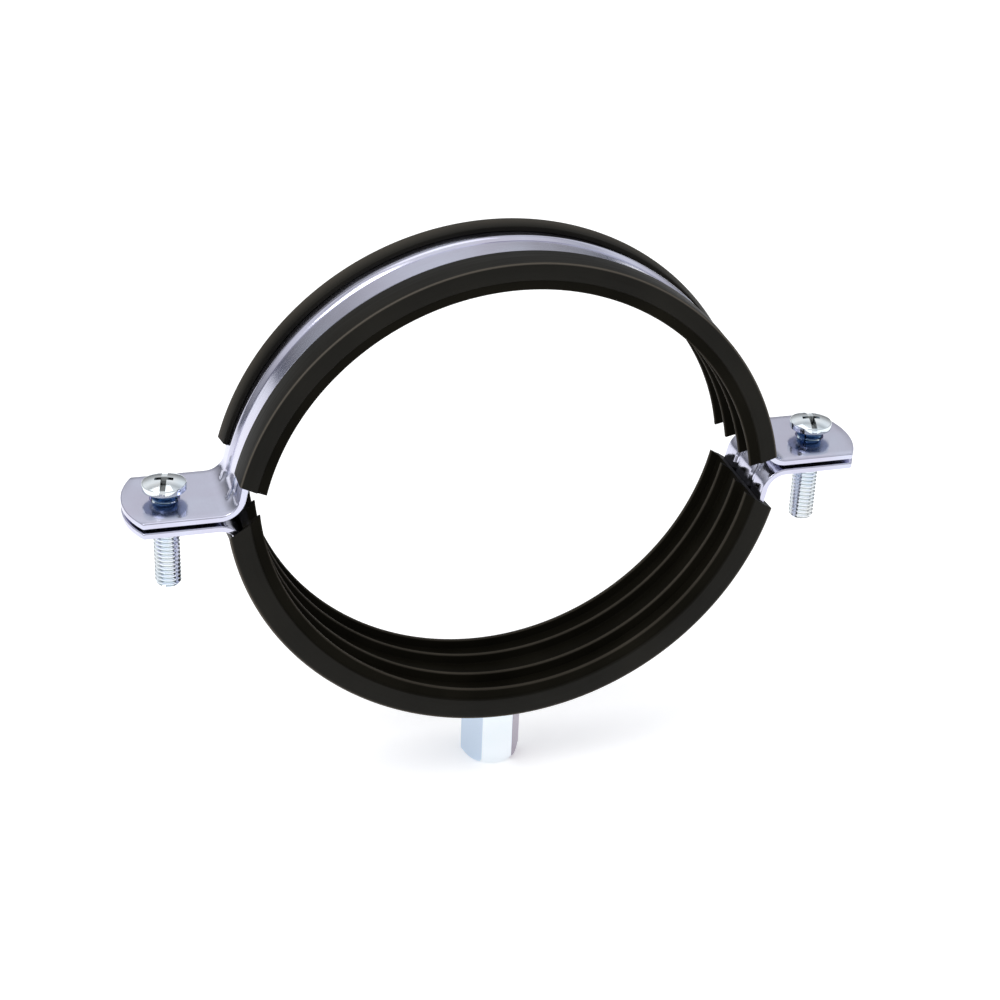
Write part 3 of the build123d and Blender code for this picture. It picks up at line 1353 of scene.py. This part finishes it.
    def build(self, tree: GeometryTree, zinc: bpy.types.Material,
              rubber: bpy.types.Material) -> list[bpy.types.Object]:
        """Make this half's strip and lining.

        Args:
            tree: the ring sweep.
            zinc: finish of the strip.
            rubber: finish of the lining.

        Returns:
            The two pieces.
        """
        prefix = self.half.name.lower()
        strip = self.with_holes(self.strip_mesh())
        lining = self.lining_mesh(tree, rubber)
        pieces = []
        for node, mesh, material, slot in (
            (f"{prefix}_band", strip, zinc, "zinc_strip"),
            (f"{prefix}_lining", lining, rubber, "lining_rubber"),
        ):
            smooth_by_angle(mesh)
            pieces.append(place_piece(f"{node}_skin", mesh, material, self.body, node))
        return pieces


@dataclass(frozen=True)
class Collar:
    """Tapped collar drawn up out of a lower ear."""

    radius: float = 4.2 * MM
    height: float = 0.95 * MM
    edge: float = 0.3 * MM
    root: float = 0.6 * MM
    edge_steps: int = 4

    def outline(self) -> list[Point]:
        """Outline of the collar before it is drilled.

        Returns:
            Radius and height of each point, from the axis inside the ear to the axis at the rim.
        """
        points = [(0.0, -self.root), (self.radius, -self.root), (self.radius, self.height - self.edge)]
        for k in range(1, self.edge_steps + 1):
            turn = math.pi / 2 * k / self.edge_steps
            points.append((self.radius - self.edge * (1 - math.cos(turn)),
                           self.height - self.edge * (1 - math.sin(turn))))
        return points + [(0.0, self.height)]


# ---------------------------------------------------------------- nut

@dataclass
class ConnectionNut:
    """Hexagonal nut welded under the lower strip, with its thread cut up through it."""

    sizes: ClampSizes = field(default_factory=ClampSizes)
    corner_cut: float = 0.0525 * MM
    end_radius: float = 6.1 * MM
    chamfer_rise: float = 1.9 * MM
    thread_core: float = 3.4 * MM
    thread_depth: float = 0.6 * MM
    mouth_play: float = 0.15 * MM
    pitch: float = 1.25 * MM
    flank_slope: float = 1.3
    crest_share: float = 0.15
    around: int = 144
    face_rows: int = 8
    rows_per_turn: int = 8
    smooth_angle: float = 28.0

    @property
    def corner(self) -> float:
        """Radius of the hexagon's sharp corners."""
        return self.sizes.nut_across_flats / math.sqrt(3)

    def hexagon(self, angle: float) -> float:
        """Radius of the hexagon, whose slightly rounded corners include two on the X axis.

        Args:
            angle: direction from the axis.

        Returns:
            The radius in that direction.
        """
        sector = (angle % (math.pi / 3)) - math.pi / 6
        flat = self.sizes.nut_across_flats / 2 / math.cos(sector)
        return min(flat, self.corner - self.corner_cut)

    def strip_above(self, x: float) -> float:
        """Height of the strip's outer face above a place on the X axis."""
        return self.sizes.lower_centre - math.sqrt(self.sizes.strip_outer**2 - x**2)

    def mesh(self) -> bpy.types.Mesh:
        """Skin the nut as a ring of rows, each down its outside and back up its thread.

        Returns:
            A closed mesh.
        """
        rows = []
        slope = self.chamfer_rise / (self.corner - self.end_radius)
        steps = int(self.sizes.nut_height / self.pitch * self.rows_per_turn)
        mouth = self.thread_core + self.thread_depth + self.mouth_play
        for step in range(self.around):
            angle = math.tau * step / self.around
            spoke = Vector((math.cos(angle), math.sin(angle), 0))
            outer = self.hexagon(angle)
            top = self.strip_above(outer * spoke.x)
            inner_top = self.strip_above(self.thread_core * spoke.x)
            rise = (outer - self.end_radius) * slope
            row = [spoke * outer + Vector((0, 0, top + (rise - top) * k / self.face_rows))
                   for k in range(self.face_rows + 1)]
            row += [spoke * self.end_radius, spoke * mouth]
            for k in range(steps + 1):
                height = inner_top * k / steps
                wave = abs(((height / self.pitch - angle / math.tau) % 1.0) * 2 - 1)
                cut = min(1.0, max(0.0, wave * self.flank_slope - self.crest_share))
                fade = min(1.0, height / self.pitch)
                radius = max(self.thread_core + self.thread_depth * cut,
                             mouth + (self.thread_core - mouth) * fade)
                row.append(spoke * radius + Vector((0, 0, height)))
            rows.append(row)
        return mesh_from_rows("nut", rows, ring=True)

    def build(self, zinc: bpy.types.Material) -> bpy.types.Object:
        """Make the nut.

        Args:
            zinc: its finish.

        Returns:
            The piece.
        """
        mesh = self.mesh()
        smooth_by_angle(mesh, self.smooth_angle)
        return place_piece("connection_nut_skin", mesh, zinc, "lower_half", "connection_nut")


# ---------------------------------------------------------------- screws

@dataclass
class EarScrew:
    """Screw of one ear: a thread, a round head, a slot and a cross recess."""

    side: Side
    sizes: ClampSizes = field(default_factory=ClampSizes)
    length: float = 24.0 * MM
    crest: float = 2.95 * MM
    depth: float = 0.52 * MM
    pitch: float = 1.0 * MM
    tip_radius: float = 2.35 * MM
    head_radius: float = 5.0 * MM
    head_height: float = 2.5 * MM
    rim_height: float = 1.65 * MM
    rim_round: float = 0.3 * MM
    rim_turn: float = 0.8
    slot_width: float = 1.3 * MM
    slot_depth: float = 1.4 * MM
    slot_turn: float = math.radians(78)
    cross_length: float = 5.2 * MM
    cross_width: float = 1.3 * MM
    cross_depth: float = 2.0 * MM
    cross_taper: Point = (0.5, 0.8)
    cutter_rise: float = 1.0 * MM
    shank_overlap: float = 0.5 * MM
    neck: float = 1.2 * MM
    around: int = 72
    rows_per_turn: int = 12
    rim_steps: int = 4
    dome_steps: int = 24
    smooth_angle: float = 32.0

    @property
    def body(self) -> str:
        """The body and CAD node of this screw."""
        return f"{self.side.name.lower()}_screw"

    def head_outline(self) -> list[Point]:
        """Outline of the head: a flat seat, an upright rim and a low dome.

        Returns:
            Radius and height of each point, from the axis at the seat to the axis at the top.
        """
        edge = self.rim_round
        points = [(0.0, 0.0), (self.head_radius - edge / 2, 0.0), (self.head_radius, edge / 2)]
        for k in range(self.rim_steps + 1):
            turn = math.pi / 2 * k / self.rim_steps * self.rim_turn
            points.append((self.head_radius - edge * (1 - math.cos(turn)),
                           self.rim_height - edge * (1 - math.sin(turn))))
        reach, foot = points[-1]
        rise = self.head_height - foot
        ball = (reach**2 + rise**2) / (2 * rise)
        for k in range(1, self.dome_steps + 1):
            out = reach * (1 - k / self.dome_steps)
            points.append((out, self.head_height - ball + math.sqrt(ball**2 - out**2)))
        return points

    def cutter(self, length: float, width: float, depth: float, turn: float) -> bpy.types.Mesh:
        """Block that cuts the head from its top down to a depth.

        Args:
            length: the block's length.
            width: its width.
            depth: how deep it cuts.
            turn: angle about the screw's axis.

        Returns:
            A closed mesh.
        """
        tall = depth + self.cutter_rise
        return block((length, width, tall), (0, 0, self.head_height - depth + tall / 2), turn)

    def recesses(self) -> list[bpy.types.Mesh]:
        """Cutters for the slot and the two wings of the cross, whose wings taper downwards.

        Returns:
            Three closed meshes.
        """
        cutters = [self.cutter(3 * self.head_radius, self.slot_width, self.slot_depth, 0)]
        tapers = (self.cross_taper, self.cross_taper[::-1])
        for turn, (along_x, along_y) in zip((0, math.pi / 2), tapers):
            wing = self.cutter(self.cross_length, self.cross_width, self.cross_depth, turn)
            for vertex in wing.vertices:
                if vertex.co.z < self.head_height:
                    vertex.co.x *= along_x
                    vertex.co.y *= along_y
            cutters.append(wing)
        return cutters

    def mesh(self, tree: GeometryTree, zinc: bpy.types.Material) -> bpy.types.Mesh:
        """Join the head to the thread and cut the drive into it.

        Args:
            tree: the thread.
            zinc: the screw's finish.

        Returns:
            A closed mesh, in place.
        """
        seed = bpy.data.meshes.new("seed")
        shank = tree.apply(seed, {
            "Length": self.length + self.shank_overlap, "Pitch": self.pitch,
            "Crest Radius": self.crest, "Depth": self.depth, "Tip Radius": self.tip_radius,
            "Neck": self.neck, "Rows Per Turn": self.rows_per_turn, "Around": self.around,
            "Material": zinc})
        shank.transform(Matrix.Translation((0, 0, self.shank_overlap)))
        build = bmesh.new()
        build.from_mesh(shank)
        shank = written("shank", build)
        mesh = turned("head", self.head_outline(), self.around)
        for cutter in self.recesses():
            mesh = solid_boolean(mesh, cutter, "DIFFERENCE")
        mesh = closed_again(solid_boolean(mesh, shank, "UNION"))
        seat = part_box(self.body)[1][2] - self.head_height
        spot = Matrix.Translation((self.side.value * self.sizes.screw_x, 0, seat))
        mesh.transform(spot @ Matrix.Rotation(self.slot_turn, 4, "Z"))
        return mesh

    def build(self, tree: GeometryTree, zinc: bpy.types.Material) -> bpy.types.Object:
        """Make the screw.

        Args:
            tree: the thread.
            zinc: its finish.

        Returns:
            The piece.
        """
        mesh = self.mesh(tree, zinc)
        smooth_by_angle(mesh, self.smooth_angle)
        return place_piece(f"{self.body}_skin", mesh, zinc, self.body, self.body)


# ---------------------------------------------------------------- studio

@dataclass(frozen=True)
class SoftBox:
    """A square soft light that faces the clamp."""

    name: str
    place: Corner
    size: float
    power: float

    def build(self, aim: Corner) -> None:
        """Add the light.

        Args:
            aim: the point that it faces.
        """
        data = bpy.data.lights.new(self.name, "AREA")
        data.size = self.size
        data.energy = self.power
        item = bpy.data.objects.new(self.name, data)
        item.location = self.place
        item.rotation_euler = (Vector(aim) - Vector(self.place)).to_track_quat("-Z", "Y").to_euler()
        bpy.context.scene.collection.objects.link(item)


@dataclass
class Studio:
    """Plain pale floor, soft lights and the camera."""

    focal_pixels: float = 2097.44
    image_pixels: float = 1000.0
    sensor: float = 36.0
    azimuth: float = math.radians(-16.738)
    elevation: float = math.radians(27.860)
    roll: float = math.radians(2.212)
    distance: float = 490.5 * MM
    target: Corner = (0.32 * MM, 0.0, 70.28 * MM)
    clip_start: float = 10.0 * MM
    floor_half: float = 40.0
    floor_tone: float = 0.93
    floor_roughness: float = 0.9
    floor_sheen: float = 0.1
    floor_glow: float = 0.38
    lamps: tuple[SoftBox, ...] = (
        SoftBox("left_box", (-0.55, -0.35, 0.95), 0.5, 3.4),
        SoftBox("back_box", (-0.1, 0.5, 1.4), 0.8, 1.6),
    )
    lamp_aim: Corner = (0.0, 0.0, 0.07)
    below: Colour = (0.10, 0.12, 0.17)
    bands: tuple[Point, ...] = (
        (0.56, 0.3), (0.66, 0.55), (0.735, 0.92), (0.80, 1.0), (0.88, 0.6), (0.93, 0.9))
    band_tint: Colour = (0.97, 0.98, 1.0)
    sky_strength: float = 0.95

    def camera(self) -> None:
        """Place the camera and make it the scene's."""
        data = bpy.data.cameras.new("camera")
        data.sensor_width = self.sensor
        data.lens = self.focal_pixels / self.image_pixels * self.sensor
        data.clip_start = self.clip_start
        item = bpy.data.objects.new("camera", data)
        back = Vector((math.sin(self.azimuth) * math.cos(self.elevation),
                       -math.cos(self.azimuth) * math.cos(self.elevation), math.sin(self.elevation)))
        right = (-back).cross(Vector((0, 0, 1))).normalized()
        up = right.cross(-back)
        across = right * math.cos(self.roll) + up * math.sin(self.roll)
        upward = up * math.cos(self.roll) - right * math.sin(self.roll)
        turn = Matrix((across, upward, back)).transposed().to_4x4()
        item.matrix_world = Matrix.Translation(Vector(self.target) + back * self.distance) @ turn
        bpy.context.scene.collection.objects.link(item)
        bpy.context.scene.camera = item

    def floor(self) -> None:
        """Lay the floor."""
        mesh = bpy.data.meshes.new("floor")
        side = self.floor_half
        mesh.from_pydata([(-side, -side, 0), (side, -side, 0), (side, side, 0), (-side, side, 0)],
                         [], [(0, 1, 2, 3)])
        finish = Finish("floor_paint")
        for name, value in (
            ("Base Color", (self.floor_tone, self.floor_tone, self.floor_tone, 1.0)),
            ("Roughness", self.floor_roughness),
            ("Specular IOR Level", self.floor_sheen),
            ("Emission Color", (1.0, 1.0, 1.0, 1.0)),
            ("Emission Strength", self.floor_glow),
        ):
            finish.feed(finish.shader.inputs[name], value)
        finished("floor", mesh, finish.material)

    def surroundings(self) -> None:
        """Set the pale surroundings: dark at the horizon, with soft bands above it."""
        world = bpy.data.worlds.new("surroundings")
        world.use_nodes = True
        nodes = Nodes(world.node_tree)
        out = nodes.add("ShaderNodeOutputWorld")
        sky = nodes.add("ShaderNodeBackground")
        nodes.feed(out.inputs["Surface"], sky.outputs[0])
        height = nodes.split(nodes.add("ShaderNodeTexCoord").outputs["Generated"])[2]
        band = nodes.add("ShaderNodeValToRGB")
        nodes.feed(band.inputs[0], nodes.calc("MULTIPLY_ADD", height, 0.5, 0.5))
        first, last = band.color_ramp.elements
        first.position, first.color = 0.5, (*self.below, 1)
        last.position, last.color = 1.0, (1, 1, 1, 1)
        for position, shade in self.bands:
            tone = [shade * part for part in self.band_tint]
            band.color_ramp.elements.new(position).color = (*tone, 1)
        nodes.feed(sky.inputs["Color"], band.outputs[0])
        nodes.feed(sky.inputs["Strength"], self.sky_strength)
        bpy.context.scene.world = world

    def build(self) -> None:
        """Set up the whole studio."""
        self.camera()
        self.floor()
        for lamp in self.lamps:
            lamp.build(self.lamp_aim)
        self.surroundings()
        bpy.context.scene.view_settings.view_transform = "Standard"


# ---------------------------------------------------------------- assembly

def main() -> None:
    """Build the clamp and its studio, and report each piece."""
    logging.basicConfig(level=logging.INFO, format="%(name)s: %(message)s")
    Studio().build()
    sizes = ClampSizes()
    sweep = ring_sweep_tree()
    thread = thread_tree()
    halves = (
        LinedHalf(Half.LOWER, "lower_half",
                  left_end=LiningEnd(angle=8.5, lean=24.0),
                  right_end=LiningEnd(angle=14.5, lean=19.0),
                  hole_radius=3.0 * MM),
        LinedHalf(Half.UPPER, "upper_half",
                  left_end=LiningEnd(angle=15.7, lean=11.0),
                  right_end=LiningEnd(angle=10.6, lean=8.0),
                  near_lip_height=0.95 * MM, near_lip_edge=5.4 * MM, far_lip_edge=9.2 * MM),
    )
    pieces: list[bpy.types.Object] = []
    for half in halves:
        prefix = half.half.name.lower()
        zinc = ZincFinish(f"{prefix}_strip_zinc", tint=(0.56, 0.55, 0.67), cool=(0.61, 0.63, 0.76),
                          roughness=0.15, centre_height=half.centre)
        rubber = RubberFinish(f"{prefix}_rubber", centre_height=half.centre,
                              near_crown=sizes.strip_outer + half.near_lip_height)
        pieces += half.build(sweep, zinc.material(), rubber.material())
    nut_zinc = NutFinish("nut_zinc", tint=(0.80, 0.86, 0.90), cool=(0.84, 0.88, 0.92),
                         roughness=0.12, centre_height=sizes.lower_centre,
                         line_bump=0.0).material()
    screw_zinc = ScrewFinish("screw_zinc", tint=(0.72, 0.80, 0.86), cool=(0.86, 0.88, 0.88),
                             roughness=0.08, centre_height=sizes.lower_centre,
                             cloud_scale=160.0, line_bump=0.0,
                             head_top=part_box("left_screw")[1][2]).material()
    pieces.append(ConnectionNut().build(nut_zinc))
    pieces += [EarScrew(side).build(thread, screw_zinc) for side in Side]
    for piece in pieces:
        LOG.info("%s: %d faces", piece.name, len(piece.data.polygons))


if __name__ == "__main__":
    main()
